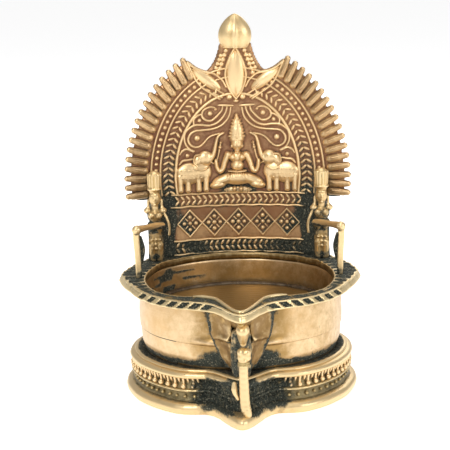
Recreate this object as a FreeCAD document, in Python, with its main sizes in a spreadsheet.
import FreeCAD, Part
import math
import os
import Sketcher
from FreeCAD import Matrix, Placement, Rotation, Vector

# Brass oil lamp with a standing back plate. Millimetres. +Z is up, the spout points to -Y, the
# plate stands at +Y, and the origin is on the bowl's axis at the level that the lamp stands on.

doc = FreeCAD.newDocument("standing_oil_lamp")
sheet = doc.addObject("Spreadsheet::Sheet", "Sizes")

SIZES = {
    # base mouldings, from the bottom up: heights, radii and how far the prow reaches forward
    "plinth_radius": 43.5, "plinth_height": 4.3, "plinth_tip": 55.5,
    "scotia_radius": 40.6, "scotia_level": 4.3, "scotia_height": 4.0, "scotia_tip": 47.6,
    "ridge_radius": 41.6, "ridge_level": 8.3, "ridge_height": 0.8, "ridge_tip": 48.2,
    "petal_radius": 40.5, "petal_level": 9.1, "petal_height": 4.2, "petal_tip": 47.0,
    "torus_radius": 42.0, "torus_level": 13.3, "torus_height": 1.8, "torus_tip": 48.6,
    "collar_radius": 40.0, "collar_level": 15.1, "collar_height": 1.0, "collar_tip": 46.8,
    "hollow_radius": 35.7,
    "shoulder_across": 13.0, "shoulder_step": 18.0, "nose_round": 2.6,
    "petal_count": 76, "petal_bead": 0.85, "scotia_bead": 0.62,
    # bowl
    "wall_radius": 37.2, "wall_bulge": 0.6, "wall_level": 16.1, "wall_top": 40.6,
    "wall_thickness": 1.5, "floor_level": 31.0, "floor_thickness": 1.6, "seam_radius": 34.4,
    "seam_wire": 0.65,
    # flange and spout lip
    "flange_radius": 45.3, "flange_height": 2.7, "flange_tip": 60.0,
    "opening_radius": 35.9, "opening_tip": 54.0,
    "lip_wire": 1.3, "lip_lift": 0.7,
    # elephant head below the spout
    "trunk_radius": 1.75, "trunk_top": 23.0, "trunk_foot": 4.4, "trunk_front": 52.6,
    "brow_across": 5.2, "brow_height": 5.0, "nose_across": 5.0, "ear_thickness": 1.6,
    "tusk_length": 6.4,
    # back plate: its front face is an upright surface that curves round the rim and flattens
    # towards the top
    "plate_stand": 37.0, "plate_thickness": 2.5, "plate_bottom": 43.3, "cone_angle": 53.7,
    "cone_apex": 6.3, "plate_top": 138.0, "panel_half": 31.0, "panel_top": 67.0,
    "arch_centre": 74.5, "arch_half": 41.7, "arch_rise": 50.7,
    "relief_thin": 0.6, "relief_wire": 0.9, "relief_thick": 1.3, "wire_across": 0.8,
    "fin_count": 17, "fin_across": 3.1,
    "outer_wire_half": 34.0, "outer_wire_rise": 42.6, "mid_wire_half": 30.5,
    "mid_wire_rise": 39.1, "inner_wire_half": 24.4, "inner_wire_rise": 32.5,
    "bead_count": 20, "bead_radius": 0.75, "leaf_pair_count": 20,
    "bar_one": 43.9, "bar_two": 48.9, "bar_three": 62.4, "bar_four": 67.4, "bar_half": 26.0,
    "chevron_pitch": 2.2, "diamond_pitch": 9.65, "diamond_rise": 10.4, "stud_radius": 0.8,
    # finial
    "finial_low": 124.8, "finial_half": 6.5, "finial_thick": 8.4, "neck_half": 6.3,
    "neck_level": 116.4, "leaf_tip_across": 19.8, "leaf_tip_level": 120.4, "leaf_half": 4.0, "leaf_low": 104.0,
    "leaf_high": 125.0,
    # seated figure, elephants and attendants
    "figure_seat_low": 67.9, "figure_depth": 3.2, "elephant_depth": 2.0, "scroll_across": 0.85,
    "attendant_across": 32.4, "attendant_front": 23.2, "strut_across": 2.4,
    "strut_elbow": 38.2, "strut_level": 60.6,
}

for row, (alias, value) in enumerate(SIZES.items(), start=1):
    sheet.set(f"A{row}", alias)
    sheet.set(f"B{row}", str(value))
    sheet.setAlias(f"B{row}", alias)
doc.recompute()


def size(alias):
    """The value of one driving dimension, read from the sheet."""
    return float(sheet.get(alias))


def bind(item, **links):
    """Bind the properties of one object to cells of the sheet."""
    for name, formula in links.items():
        words = [f"Sizes.{word}" if word in SIZES else word for word in formula.split()]
        item.setExpression(name.replace("__", "."), " ".join(words))


sub_parts = []


def keep(item, label):
    """Name one sub-part; its label is its node's name."""
    item.Label = label
    sub_parts.append(item)
    return item


def keep_shape(shape, label):
    """A sub-part whose shape is worked out with Part's own functions."""
    item = doc.addObject("Part::Feature", label)
    item.Shape = shape
    item.Placement = shape.Placement
    return keep(item, label)


def group(shapes):
    """Separate solids that share one node."""
    solids = [solid for shape in shapes for solid in shape.Solids]
    return solids[0] if len(solids) == 1 else Part.makeCompound(solids)


def fuse(shapes):
    """One body made of several overlapping solids."""
    return shapes[0].multiFuse(shapes[1:]).removeSplitter()


# ---------------------------------------------------------------------------------------------
# Outlines in plan: a circle whose front is drawn out into a prow between two stepped shoulders

def prow_curves(radius, tip):
    """The curves of a round moulding with a prow, as a closed chain."""
    step_angle = math.asin(size("shoulder_step") / radius)
    step = Vector(radius * math.sin(step_angle), -radius * math.cos(step_angle), 0)
    notch = Vector(size("shoulder_across"), step.y + 0.9, 0)
    nose = Vector(size("nose_round") * 0.9, -tip + size("nose_round") * 0.7, 0)
    shoulder_bow = (step + notch) * 0.5 + Vector(0.1, -0.9, 0)
    flank_bow = (notch + nose) * 0.5 + Vector(-0.9, 0.5, 0)

    def mirrored(point):
        return Vector(-point.x, point.y, 0)

    chain = [
        (mirrored(step), Vector(0, radius, 0), step),
        (step, shoulder_bow, notch),
        (notch, flank_bow, nose),
        (nose, Vector(0, -tip, 0), mirrored(nose)),
        (mirrored(nose), mirrored(flank_bow), mirrored(notch)),
        (mirrored(notch), mirrored(shoulder_bow), mirrored(step)),
    ]
    return [Part.Arc(*points) for points in chain]


def origin_plane(body, role):
    return next(plane for plane in body.Origin.OriginFeatures if plane.Role == role)


def moulding(label, part):
    """A ring of the base with a prow in front."""
    body = doc.addObject("PartDesign::Body", label)
    sketch = body.newObject("Sketcher::SketchObject", f"{label}_outline")
    sketch.AttachmentSupport = (origin_plane(body, "XY_Plane"), [""])
    sketch.MapMode = "FlatFace"
    for curve in prow_curves(size(f"{part}_radius"), size(f"{part}_tip")):
        sketch.addGeometry(curve, False)
    hollow = Part.Circle(Vector(), Vector(0, 0, 1), size("hollow_radius"))
    hollow_index = sketch.addGeometry(hollow, False)
    sketch.addConstraint(Sketcher.Constraint("Radius", hollow_index, size("hollow_radius")))
    sketch.setExpression("Constraints[0]", "Sizes.hollow_radius")
    pad = body.newObject("PartDesign::Pad", f"{label}_pad")
    pad.Profile = sketch
    bind(pad, Length=f"{part}_height")
    if f"{part}_level" in SIZES:
        bind(body, Placement__Base__z=f"{part}_level")
    return keep(body, label)


def base_mouldings():
    moulding("plinth_ring", "plinth")
    moulding("base_scotia_band", "scotia")
    moulding("base_wire_ridge", "ridge")
    moulding("base_petal_band", "petal")
    moulding("base_torus", "torus")
    moulding("base_collar_ring", "collar")


def round_the_base(count, make):
    """Repeat a small piece round the base, leaving the prow and its shoulders free."""
    pieces = []
    for index in range(count):
        angle = 2 * math.pi * (index + 0.5) / count
        in_front = math.cos(angle) > 0
        if in_front and abs(math.sin(angle)) * size("petal_radius") < size("shoulder_step"):
            continue
        piece = make()
        piece.rotate(Vector(), Vector(0, 0, 1), math.degrees(angle))
        pieces.append(piece)
    return pieces


def petal_row():
    """Hanging drops: a slim stem that ends in a bead, with a short stem between neighbours."""
    face = -size("petal_radius")
    low, high = size("petal_level"), size("petal_level") + size("petal_height")
    bead = size("petal_bead")
    count = int(size("petal_count"))
    band = Part.makeCylinder(-face, high - low, Vector(0, 0, low))

    def drop():
        stem = Part.makeBox(0.9, 1.4, high - low - 1.2, Vector(-0.45, face - 0.55, low + 1.2))
        ball = Part.makeSphere(bead, Vector(0, face - 0.2, low + bead + 0.1))
        return stem.fuse(ball).cut(band)

    def short_stem():
        stem = Part.makeBox(0.7, 1.3, 1.9, Vector(-0.35, face - 0.4, high - 1.9))
        stem.rotate(Vector(), Vector(0, 0, 1), 180 / count)
        return stem.cut(band)

    keep_shape(group(round_the_base(count, drop)), "petal_drops")
    keep_shape(group(round_the_base(count, short_stem)), "petal_short_stems")


def scotia_beads():
    face = -size("scotia_radius")
    middle = size("scotia_level") + size("scotia_height") / 2
    band = Part.makeCylinder(-face, size("scotia_height"), Vector(0, 0, size("scotia_level")))

    def bead():
        return Part.makeSphere(size("scotia_bead"), Vector(0, face - 0.1, middle)).cut(band)

    keep_shape(group(round_the_base(int(size("petal_count")), bead)), "scotia_beads")


# ---------------------------------------------------------------------------------------------
# Bowl

def bowl_wall():
    """The turned wall of the bowl, slightly bulged, open at the top and bottom."""
    body = doc.addObject("PartDesign::Body", "bowl_wall")
    sketch = body.newObject("Sketcher::SketchObject", "bowl_wall_profile")
    sketch.AttachmentSupport = (origin_plane(body, "XZ_Plane"), [""])
    sketch.MapMode = "FlatFace"
    outer, low, high = size("wall_radius"), size("wall_level"), size("wall_top")
    inner = outer - size("wall_thickness")
    middle = (low + high) / 2
    corners = [Vector(inner, low, 0), Vector(outer, low, 0), Vector(outer, high, 0),
               Vector(inner, high, 0)]
    sketch.addGeometry(Part.LineSegment(corners[0], corners[1]), False)
    bulge = Vector(outer + size("wall_bulge"), middle, 0)
    sketch.addGeometry(Part.Arc(corners[1], bulge, corners[2]), False)
    sketch.addGeometry(Part.LineSegment(corners[2], corners[3]), False)
    sketch.addGeometry(Part.LineSegment(corners[3], corners[0]), False)
    turn = body.newObject("PartDesign::Revolution", "bowl_wall_turn")
    turn.Profile = sketch
    turn.ReferenceAxis = (sketch, ["V_Axis"])
    turn.Angle = 360
    keep(body, "bowl_wall")


def bowl_floor():
    disc = doc.addObject("Part::Cylinder", "bowl_floor_disc")
    bind(disc, Radius="hollow_radius", Height="floor_thickness",
         Placement__Base__z="floor_level - floor_thickness")
    keep(disc, "bowl_floor_disc")
    seam = doc.addObject("Part::Torus", "seam_bead")
    bind(seam, Radius1="seam_radius", Radius2="seam_wire", Placement__Base__z="floor_level")
    below = doc.addObject("Part::Cylinder", "seam_bed")
    bind(below, Radius="hollow_radius", Height="floor_thickness",
         Placement__Base__z="floor_level - floor_thickness")
    cut = doc.addObject("Part::Cut", "floor_seam_ring")
    cut.Base = seam
    cut.Tool = below
    keep(cut, "floor_seam_ring")


def prow_face(radius, tip, level):
    wire = Part.Wire([curve.toShape() for curve in prow_curves(radius, tip)])
    face = Part.Face(wire)
    face.translate(Vector(0, 0, level))
    return face


def rim_flange():
    """The flange that the plate stands on, with the spout drawn out of its front."""
    level, height = size("wall_top"), size("flange_height")
    upward = Vector(0, 0, height)
    outer = prow_face(size("flange_radius"), size("flange_tip"), level).extrude(upward)
    opening = prow_face(size("opening_radius"), size("opening_tip"), level).extrude(upward)
    shaped = outer.cut(opening)
    floor = prow_face(size("opening_radius"), size("opening_tip"), level)
    floor = floor.extrude(Vector(0, 0, 0.8))
    bowl_mouth = Part.makeCylinder(size("opening_radius"), 2 * height, Vector(0, 0, level - 1))
    spout_floor = floor.cut(bowl_mouth)
    keep_shape(shaped.fuse(spout_floor).removeSplitter(), "rim_flange")
    wire_outer = prow_face(size("opening_radius") + size("lip_wire"),
                           size("opening_tip") + size("lip_wire"), level + height)
    wire_inner = prow_face(size("opening_radius"), size("opening_tip"), level + height)
    raised = Vector(0, 0, size("lip_lift"))
    bead = wire_outer.extrude(raised).cut(wire_inner.extrude(raised))
    in_front = Part.makeBox(90, 70, 10, Vector(-45, -70, level))
    keep_shape(bead.common(in_front), "opening_lip_bead")


# ---------------------------------------------------------------------------------------------
# Elephant head that carries the spout

def loft(sections):
    """A ruled body through rectangles (half width, y front, y back, z)."""
    wires = []
    for half, front, back, level in sections:
        corners = [Vector(-half, front, level), Vector(half, front, level),
                   Vector(half, back, level), Vector(-half, back, level)]
        wires.append(Part.makePolygon(corners + corners[:1]))
    return Part.makeLoft(wires, True, True)


def wall_core(radius):
    return Part.makeCylinder(radius, 60, Vector(0, 0, 0))


def elephant_head():
    wall = wall_core(size("wall_radius") + size("wall_bulge"))
    under_lip = size("wall_top")
    brow_low = size("trunk_top") + 0.9
    front = -size("trunk_front")
    neck = loft([(2.0, front + 3.5, -34.0, brow_low), (3.2, front + 2.5, -34.0, 32.0),
                 (4.2, front + 1.0, -34.0, under_lip)])
    nose = loft([(size("nose_across") / 2 - 0.7, front + 0.6, -44.0, 31.0),
                 (size("nose_across") / 2, front - 1.4, -44.0, under_lip)])
    brow = Part.makeBox(size("brow_across"), 5.0, size("brow_height"),
                        Vector(-size("brow_across") / 2, front - 0.6, brow_low))
    keep_shape(fuse([neck, nose, brow]).cut(wall), "elephant_head")


def elephant_trunk():
    """The trunk hangs from the brow to the prow, with a collar at its root."""
    radius, top, foot = size("trunk_radius"), size("trunk_top"), size("trunk_foot")
    front = -size("trunk_front") + radius
    bend = Vector(0.2, front - 0.3, (top + foot) / 2)
    path = Part.Wire(Part.Arc(Vector(0, front, top), bend, Vector(1.4, front, foot)).toShape())
    start = Part.Wire(Part.makeCircle(radius, Vector(0, front, top), Vector(0, 0, 1)))
    shaft = path.makePipeShell([start], True, False)
    keep_shape(shaft, "elephant_trunk")
    ring = Part.makeCylinder(radius + 0.6, 0.9, Vector(0, front, top))
    keep_shape(ring, "trunk_collar")


def stretched_ball(centre, half_x, half_y, half_z):
    """An ellipsoid with the given half axes."""
    ball = Part.makeSphere(1)
    stretch = Matrix()
    stretch.scale(half_x, half_y, half_z)
    ball = ball.transformGeometry(stretch)
    ball.translate(centre)
    return ball


def tusk():
    ball = stretched_ball(Vector(), 1.15, 1.0, size("tusk_length") / 2)
    ball.rotate(Vector(), Vector(0, 1, 0), -12)
    ball.translate(Vector(-3.4, -size("trunk_front") + 3.0, 12.6))
    trunk_space = Part.makeCylinder(size("trunk_radius") + 0.02, 30,
                                    Vector(0.2, -size("trunk_front") + size("trunk_radius"), 0))
    keep_shape(ball.cut(trunk_space), "elephant_tusk")


def ears():
    """Two hollow-faced ears in front of the wall, each with an upper and a lower lobe."""
    wall = wall_core(size("wall_radius") + size("wall_bulge"))
    thickness = size("ear_thickness")
    for side, label in ((-1, "left_ear"), (1, "right_ear")):
        upper = [Vector(side * 3.4, -50.0, 40.6), Vector(side * 10.0, -41.5, 40.6),
                 Vector(side * 9.0, -40.5, 30.0), Vector(side * 3.4, -48.0, 30.0)]
        lower = [Vector(side * 3.4, -48.0, 30.0), Vector(side * 9.0, -40.5, 30.0),
                 Vector(side * 5.5, -40.5, 19.5), Vector(side * 3.0, -44.0, 18.5)]
        lobes = []
        for corners in (upper, lower):
            lobe = Part.makeLoft([Part.makePolygon([corners[0], corners[1]]),
                                  Part.makePolygon([corners[3], corners[2]])], False, True)
            lobes.append(lobe.Faces[0].extrude(Vector(side * -0.4, thickness, 0)))
        ear = fuse(lobes).cut(wall)
        head = next(item for item in sub_parts if item.Label == "elephant_head")
        keep_shape(ear.cut(head.Shape), label)


# ---------------------------------------------------------------------------------------------
# Back plate. Everything on it is drawn flat in X and Z and laid on its curved front face.

def plate_front(across, level):
    """How far back the plate's front face is: a cone whose foremost line stands upright."""
    spread = math.tan(math.radians(size("cone_angle")))
    rise = (level - size("cone_apex")) * spread
    excess = spread ** 2 - 1
    return size("plate_stand") + (rise - math.sqrt(rise ** 2 + excess * across ** 2)) / excess


def plate_turn(across, level):
    """Which way the plate faces there, in degrees about the upright axis."""
    step = 0.05
    return math.degrees(math.atan2(
        plate_front(across + step, level) - plate_front(across - step, level), 2 * step))


def hollow_cone(shift):
    """The space in front of the plate's front face, moved back by `shift`."""
    angle = math.radians(size("cone_angle"))
    height = 260.0
    apex = Vector(0, size("plate_stand") + shift, size("cone_apex"))
    return Part.makeCone(0, height * math.tan(angle), height, apex,
                         Vector(0, -math.sin(angle), math.cos(angle)))


def layer(lift, depth):
    """A layer that follows the plate: it starts `lift` in front of the face and runs back."""
    return hollow_cone(depth - lift).cut(hollow_cone(-lift))


IN_FRONT = hollow_cone(0)
WIRE_LAYER = layer(size("relief_wire"), size("relief_wire"))


def on_plate(x, z, lift=0.0):
    return Vector(x, plate_front(x, z) - lift, z)


def flat(x, z):
    return Vector(x, 0, z)


def polygon(points):
    return Part.makePolygon([flat(*point) for point in points] + [flat(*points[0])])


def smooth(points):
    """A closed smooth curve through the points."""
    curve = Part.BSplineCurve()
    curve.interpolate([flat(*point) for point in points], PeriodicFlag=True)
    return Part.Wire(curve.toShape())


def oval(half, rise, middle=(0.0, 0.0)):
    """An ellipse in the XZ plane."""
    wide = half > rise
    ends = (flat(half, 0), flat(0, rise)) if wide else (flat(0, rise), flat(half, 0))
    wire = Part.Wire(Part.Ellipse(ends[0], ends[1], Vector()).toShape())
    wire.translate(flat(*middle))
    return wire


def punch(wire):
    """A closed wire in the XZ plane, pushed through the plate from front to back."""
    face = Part.Face(wire)
    face.translate(Vector(0, 5, 0))
    return face.extrude(Vector(0, 40, 0))


def tile(wire, place, thickness, tilt=0.0):
    """A small flat piece laid on the plate at `place`; tilt turns it within the face."""
    piece = Part.Face(wire).extrude(Vector(0, -thickness, 0))
    if piece.Volume < 0:
        piece.reverse()
    x, z = place
    turned = Rotation(Vector(0, 0, 1), plate_turn(x, z)) * Rotation(Vector(0, 1, 0), -tilt)
    piece.Placement = Placement(on_plate(x, z), turned)
    return piece


def stud(x, z, radius):
    """Half a ball that stands on the plate's face."""
    turn = math.radians(plate_turn(x, z))
    return Part.makeSphere(radius, on_plate(x, z), Vector(math.sin(turn), -math.cos(turn), 0),
                           0, 90, 360)


def rod(start, end, radius):
    """A round bar with round ends."""
    along = end - start
    bar = Part.makeCylinder(radius, along.Length, start, along)
    return [bar, Part.makeSphere(radius, start), Part.makeSphere(radius, end)]


def kept(*labels):
    """The shapes of sub-parts that are already made."""
    return [item.Shape for item in sub_parts if item.Label in labels]


def arch_point(half, rise, angle):
    """A point on an upright half ellipse; the angle is in radians from the right side."""
    return half * math.cos(angle), size("arch_centre") + rise * math.sin(angle)


def along_the_arch(half, rise, count, first, last):
    """Evenly spread points and directions on both sides of the arch."""
    places = []
    for side in (-1, 1):
        for index in range(count):
            angle = math.radians(first + (last - first) * index / (count - 1))
            x, z = arch_point(half, rise, angle)
            slope = math.atan2(rise * math.cos(angle), -half * math.sin(angle))
            places.append((side * x, z, slope if side > 0 else math.pi - slope))
    return places


def back_plate():
    """The plate: a narrow panel that stands on the flange and widens into an arch."""
    low, shoulder = size("plate_bottom"), size("panel_top")
    arch = punch(oval(size("arch_half"), size("arch_rise"), (0, size("arch_centre"))))
    arch = arch.cut(Part.makeBox(120, 80, shoulder, Vector(-60, -20, 0)))
    leaf_tip = (size("leaf_tip_across"), size("leaf_tip_level"))
    neck, half = size("neck_half"), size("panel_half")
    neck_space = Part.makeBox(2 * leaf_tip[0], 80, 40, Vector(-leaf_tip[0], -20, 108))
    arch = arch.cut(neck_space)
    panel = punch(polygon([(-half, low), (half, low), (half + 1, shoulder + 3),
                           (-half - 1, shoulder + 3)]))
    crest = punch(polygon([
        (-leaf_tip[0] - 0.5, leaf_tip[1] - 2.4), (-leaf_tip[0], leaf_tip[1]),
        (-2 * neck, size("neck_level") - 0.6), (-1.3 * neck, size("neck_level") + 3),
        (-neck, size("finial_low")), (neck, size("finial_low")),
        (1.3 * neck, size("neck_level") + 3), (2 * neck, size("neck_level") - 0.6),
        leaf_tip, (leaf_tip[0] + 0.5, leaf_tip[1] - 2.4), (leaf_tip[0], 107),
        (-leaf_tip[0], 107)]))
    body = layer(0, size("plate_thickness"))
    keep_shape(fuse([piece.common(body) for piece in (arch, panel, crest)]), "back_plate")


def fins():
    """Tapered fingers round the edge, blunt inside and pointed where they leave the plate."""
    count = int(size("fin_count"))
    half = size("fin_across") / 2
    for side, label in ((-1, "left_fins"), (1, "right_fins")):
        fingers = []
        for index in range(count):
            angle = math.radians(-6.5 + index * 67.0 / (count - 1))
            inner, outer = arch_point(36.3, 44.8, angle), arch_point(43.4, 52.4, angle)
            length = math.hypot(outer[0] - inner[0], outer[1] - inner[1])
            turn = math.degrees(math.atan2(outer[1] - inner[1], outer[0] - inner[0]))
            finger = smooth([(-length / 2, -half * 0.7), (0, -half * 0.8), (length / 2, -0.3),
                             (length / 2, 0.3), (0, half * 0.8), (-length / 2, half * 0.7),
                             (-length / 2 - 0.7, 0)])
            middle = ((inner[0] + outer[0]) / 2, (inner[1] + outer[1]) / 2)
            tilt = turn if side > 0 else 180 - turn
            fingers.append(tile(finger, (side * middle[0], middle[1]), size("relief_thick"), tilt))
        keep_shape(group(fingers), label)


def arch_wire(label, part):
    half, rise, across = size(f"{part}_half"), size(f"{part}_rise"), size("wire_across")
    centre = (0, size("arch_centre"))
    ring = punch(oval(half + across / 2, rise + across / 2, centre))
    ring = ring.cut(punch(oval(half - across / 2, rise - across / 2, centre)))
    ring = ring.cut(Part.makeBox(120, 80, size("bar_four") + 1, Vector(-60, -20, 0)))
    keep_shape(group([ring.common(WIRE_LAYER)]), label)


def arch_beads():
    half = (size("outer_wire_half") + size("mid_wire_half")) / 2
    rise = (size("outer_wire_rise") + size("mid_wire_rise")) / 2
    places = along_the_arch(half, rise, int(size("bead_count")), -4, 66)
    keep_shape(group([stud(x, z, size("bead_radius")) for x, z, _ in places]), "arch_bead_row")


def arch_leaves():
    """Pairs of small grains that point up the arch."""
    half = (size("mid_wire_half") + size("inner_wire_half")) / 2
    rise = (size("mid_wire_rise") + size("inner_wire_rise")) / 2
    grains = []
    for x, z, slope in along_the_arch(half, rise, int(size("leaf_pair_count")), -4, 68):
        for lean in (-1, 1):
            away = slope + lean * math.radians(90)
            middle = (x + 1.2 * math.cos(away), z + 1.2 * math.sin(away))
            tilt = math.degrees(slope + lean * math.radians(125))
            grains.append(tile(oval(1.2, 0.5), middle, size("relief_thin"), tilt))
    keep_shape(group(grains), "arch_leaf_pairs")


def crossbars():
    names = ("foot_crossbar", "lower_crossbar", "middle_crossbar", "upper_crossbar")
    for label, part in zip(names, ("bar_one", "bar_two", "bar_three", "bar_four")):
        half, level, across = size("bar_half"), size(part), size("wire_across")
        bar = Part.makeBox(2 * half, 60, across, Vector(-half, -10, level - across / 2))
        keep_shape(group([bar.common(WIRE_LAYER)]), label)


def chevron_band(label, low, high, lean, across):
    """A row of V shapes, each made of two grains, between two crossbars."""
    pitch = size("chevron_pitch")
    count = int(2 * (size("bar_half") - 1.5) / pitch)
    middle, rise = (low + high) / 2, (high - low) / 2 - size("wire_across") / 2 - 0.3
    grains = []
    for index in range(count):
        x = (index - (count - 1) / 2) * pitch
        for side in (-1, 1):
            length = math.hypot(2 * lean, rise - 0.3)
            tilt = math.degrees(math.atan2(side * (rise - 0.3), -2 * lean))
            place = (x, middle + side * (rise + 0.3) / 2)
            grains.append(tile(oval(length / 2, across / 2), place, size("relief_thin"), tilt))
    keep_shape(group(grains), label)


def lattice():
    """Five wire diamonds in a row, corner to corner, with studs inside each."""
    low, high = size("bar_two"), size("bar_three")
    middle, pitch, rise = (low + high) / 2, size("diamond_pitch"), size("diamond_rise") / 2
    frames, studs = [], []
    for index in range(-2, 3):
        x = index * pitch
        for side_x in (-1, 1):
            for side_z in (-1, 1):
                length = math.hypot(pitch / 2, rise)
                tilt = math.degrees(math.atan2(side_z * rise, side_x * -pitch / 2))
                half, across = length / 2 - 0.3, size("wire_across") * 0.4
                bar = polygon([(-half, -across), (half, -across), (half, across),
                               (-half, across)])
                place = (x + side_x * pitch / 4, middle + side_z * rise / 2)
                frames.append(tile(bar, place, size("relief_thin"), tilt))
        for dx, dz in ((0, 0), (2.3, 0), (-2.3, 0), (0, 2.6), (0, -2.6)):
            studs.append(stud(x + dx, middle + dz, size("stud_radius")))
    keep_shape(group(frames), "diamond_lattice")
    keep_shape(group(studs), "diamond_studs")


def leaf(label, root, tip, half):
    """A pointed leaf from root to tip."""
    length = math.hypot(tip[0] - root[0], tip[1] - root[1])
    turn = math.degrees(math.atan2(tip[1] - root[1], tip[0] - root[0]))
    ends = flat(-length / 2, 0), flat(length / 2, 0)
    wire = Part.Wire([Part.Arc(ends[0], flat(0, half), ends[1]).toShape(),
                      Part.Arc(ends[1], flat(0, -half), ends[0]).toShape()])
    middle = ((root[0] + tip[0]) / 2, (root[1] + tip[1]) / 2)
    keep_shape(tile(wire, middle, size("relief_thick"), turn), label)


def fleuron():
    low, high = size("leaf_low"), size("leaf_high")
    tip = (size("leaf_tip_across") - 0.5, size("leaf_tip_level") - 0.4)
    leaf("centre_leaf", (0, low + 1.4), (0, high - 0.8), size("leaf_half"))
    leaf("left_leaf", (-6.4, low + 3.0), (-tip[0], tip[1]), 2.9)
    leaf("right_leaf", (6.4, low + 3.0), tip, 2.9)
    keep_shape(group([stud(side * 3.2, low + 0.6, 1.2) for side in (-1, 1)]), "leaf_studs")
    grains = [tile(oval(3.0, 0.55), (side * 4.5, low - 2.0), size("relief_thin"))
              for side in (-1, 1)]
    keep_shape(group(grains), "fleuron_foot_leaves")
    beads = []
    for side in (-1, 1):
        for index in range(6):
            across = side * (5.2 + 0.42 * index + 0.1 * index ** 2)
            beads.append(stud(across, high - 1.6 - 1.5 * index, 0.6))
    keep_shape(group(beads), "neck_beads")


def finial():
    """The bud on top: a thick pointed onion that sits on the plate's crest."""
    low, half, top = size("finial_low"), size("finial_half"), size("plate_top")
    centre = size("plate_stand") + size("plate_thickness") / 2
    belly = low + 0.35 * (top - low)
    thick = size("finial_thick") / 2
    cup = Part.makeCone(half * 0.7, half, belly - low, Vector(0, 0, low))
    dome = Part.makeCone(half, 0.4, top - belly, Vector(0, 0, belly))
    bud = cup.fuse(dome)
    bud.translate(Vector(0, centre, 0))
    keep_shape(bud.common(Part.makeBox(40, 2 * thick, 40, Vector(-20, centre - thick, low))),
               "finial_bud")


# ---------------------------------------------------------------------------------------------
# Figures in relief

def seated_figure():
    low, depth = size("figure_seat_low"), size("figure_depth")
    seat = Part.makeBox(9.0, 20.0, 2.0, Vector(-4.5, plate_front(0, low) - depth, low))
    keep_shape(seat.common(IN_FRONT), "figure_seat")
    base = low + 2.0
    pieces = rod(on_plate(-8.6, base + 1.5, 0.9), on_plate(8.6, base + 1.5, 0.9), 1.5)
    pieces.append(Part.makeCone(6.0, 2.4, 6.0, on_plate(0, base + 1.4), Vector(0, 0, 1)))
    pieces.append(Part.makeCone(2.2, 3.4, 7.2, on_plate(0, 76.0), Vector(0, 0, 1)))
    pieces.append(Part.makeSphere(2.4, on_plate(0, 87.0, 0.8)))
    for side in (-1, 1):
        shoulder, elbow = on_plate(side * 3.6, 82.6, 0.5), on_plate(side * 7.0, 76.0, 0.8)
        hand, stalk = on_plate(side * 8.7, 80.2, 0.8), on_plate(side * 6.8, 86.4, 0.5)
        pieces += rod(shoulder, elbow, 0.85) + rod(elbow, hand, 0.8) + rod(hand, stalk, 0.5)
    body = fuse(pieces).common(IN_FRONT)
    front = Part.makeBox(60, 40, 40, Vector(-30, plate_front(0, base) - depth, base))
    keep_shape(group([body.common(front)]), "seated_figure")
    crown = Part.makeCone(2.3, 0.5, 10.4, on_plate(0, 89.3, 0.5), Vector(0, 0, 1))
    keep_shape(group([crown.common(IN_FRONT)]), "figure_crown")


def elephants():
    """Standing elephants with raised trunks, mirrored, facing the figure."""
    outline = [(-6.5, 3.5), (-7.3, 6.6), (-9.6, 12.0), (-11.7, 15.2), (-10.6, 15.6), (-8.0, 11.6),
               (-4.0, 9.6), (1.5, 6.4), (6.0, 3.4), (6.7, -1.0), (6.3, -5.6), (0.0, -4.6),
               (-6.2, -5.4), (-6.2, -1.0)]
    middle = (17.6, 75.4)
    for side, label in ((-1, "left_elephant"), (1, "right_elephant")):
        body = smooth([(side * x, z) for x, z in outline])
        place = (side * middle[0], middle[1])
        pieces = [tile(body, place, size("elephant_depth"))]
        for x in (-4.7, -1.7, 1.8, 4.8):
            leg = polygon([(side * (x - 1.2), -8.0), (side * (x + 1.2), -8.0),
                           (side * (x + 1.2), -3.5), (side * (x - 1.2), -3.5)])
            pieces.append(tile(leg, place, size("elephant_depth") * 0.9))
        solid = fuse(pieces).cut(kept("seated_figure", "upper_crossbar"))
        keep_shape(group([solid]), label)


def scrolls():
    """Long S-shaped wires that sweep out from below the fleuron and curl round a bead."""
    radius = size("scroll_across") / 2
    paths = (
        [(1.6, 101.0), (6.0, 99.6), (8.6, 96.4), (12.0, 96.6), (12.7, 100.2), (9.4, 101.4)],
        [(2.8, 99.0), (6.4, 95.6), (9.6, 92.4), (15.4, 93.6), (18.6, 90.2), (17.0, 86.6)],
        [(6.6, 92.8), (10.0, 88.8), (13.4, 85.2), (18.6, 84.8), (21.6, 82.0)],
    )
    taken = kept("seated_figure", "figure_crown", "left_elephant", "right_elephant")
    for side, label in ((-1, "left_scrolls"), (1, "right_scrolls")):
        wires = []
        for path in paths:
            points = [on_plate(side * x, z, radius) for x, z in path]
            bars = [bar for start, end in zip(points, points[1:])
                    for bar in rod(start, end, radius)]
            wires.append(fuse(bars))
        keep_shape(group([Part.makeCompound(wires).cut(taken)]), label)
    beads = [stud(side * x, z, radius) for side in (-1, 1)
             for x, z, radius in ((10.3, 98.8, 0.9), (15.6, 89.6, 1.1), (15.2, 96.6, 0.6))]
    keep_shape(group(beads), "scroll_beads")


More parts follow.
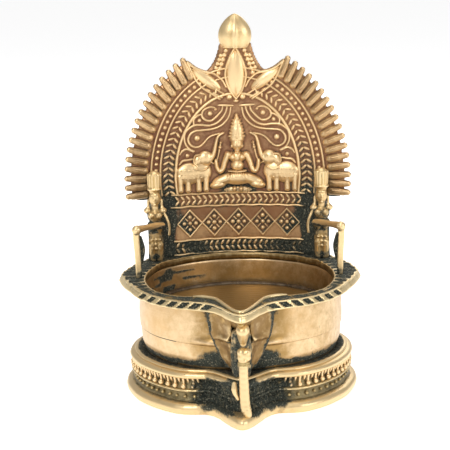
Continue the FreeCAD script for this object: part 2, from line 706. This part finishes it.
def attendants():
    """Two small standing figures at the plate's lower corners, each on a pillar."""
    floor = size("wall_top") + size("flange_height")
    for side, label in ((-1, "left_attendant"), (1, "right_attendant")):
        x, y = side * size("attendant_across"), size("attendant_front")
        pillar = Part.makeBox(6.0, 14.0, 15.0, Vector(x - 3.0, y - 2.0, floor))
        back = Part.makeBox(5.0, 14.0, 18.0, Vector(x - 2.5, y, 57.0))
        bust = Part.makeCone(2.8, 4.0, 7.6, Vector(x, y, 57.2), Vector(0, 0, 1))
        head = Part.makeCylinder(2.4, 7.2, Vector(x, y - 0.4, 64.8))
        crown = Part.makeCone(2.6, 3.1, 5.2, Vector(x, y - 0.2, 72.0), Vector(0, 0, 1))
        figure = fuse([pillar, back, bust, head, crown]).common(IN_FRONT)
        fence = kept("left_fins", "right_fins", "arch_outer_wire", "arch_mid_wire",
                     "arch_bead_row")
        keep_shape(group([figure.cut(fence)]), label)


def arm_struts():
    """A bar from each attendant's arm out to an elbow, and down to the flange."""
    floor, half = size("wall_top") + size("flange_height"), size("strut_across") / 2
    for side, label in ((-1, "left_arm_strut"), (1, "right_arm_strut")):
        elbow = Vector(side * size("strut_elbow"), -1.0, size("strut_level"))
        root = Vector(side * (size("attendant_across") - 0.6), size("attendant_front") - 1.5, 60.0)
        post = Part.makeBox(2 * half, 2 * half, elbow.z - floor,
                            Vector(elbow.x - half, elbow.y - half, floor))
        arm = fuse([post] + rod(elbow, root, half))
        keep_shape(group([arm.cut(kept(label.replace("arm_strut", "attendant")))]), label)


# ---------------------------------------------------------------------------------------------

base_mouldings()
petal_row()
scotia_beads()
bowl_wall()
bowl_floor()
rim_flange()
elephant_head()
elephant_trunk()
tusk()
ears()
back_plate()
fins()
arch_wire("arch_outer_wire", "outer_wire")
arch_wire("arch_mid_wire", "mid_wire")
arch_wire("arch_inner_wire", "inner_wire")
arch_beads()
arch_leaves()
crossbars()
chevron_band("upper_chevron_band", size("bar_three"), size("bar_four"), 0.7, 0.8)
chevron_band("lower_leaf_band", size("bar_one"), size("bar_two"), -0.7, 0.9)
lattice()
fleuron()
finial()
seated_figure()
elephants()
scrolls()
attendants()
arm_struts()

doc.recompute()

for item in doc.Objects:
    if "Invalid" in item.State or "Error" in item.State:
        raise RuntimeError(f"{item.Label} did not compute: {item.State}")
for item in sub_parts:
    if item.Shape.isNull() or not item.Shape.isValid() or not item.Shape.Solids:
        raise RuntimeError(f"{item.Label} has no valid shape")

os.makedirs("parts", exist_ok=True)
for item in sub_parts:
    item.Shape.exportStep(f"parts/{item.Label}.step")
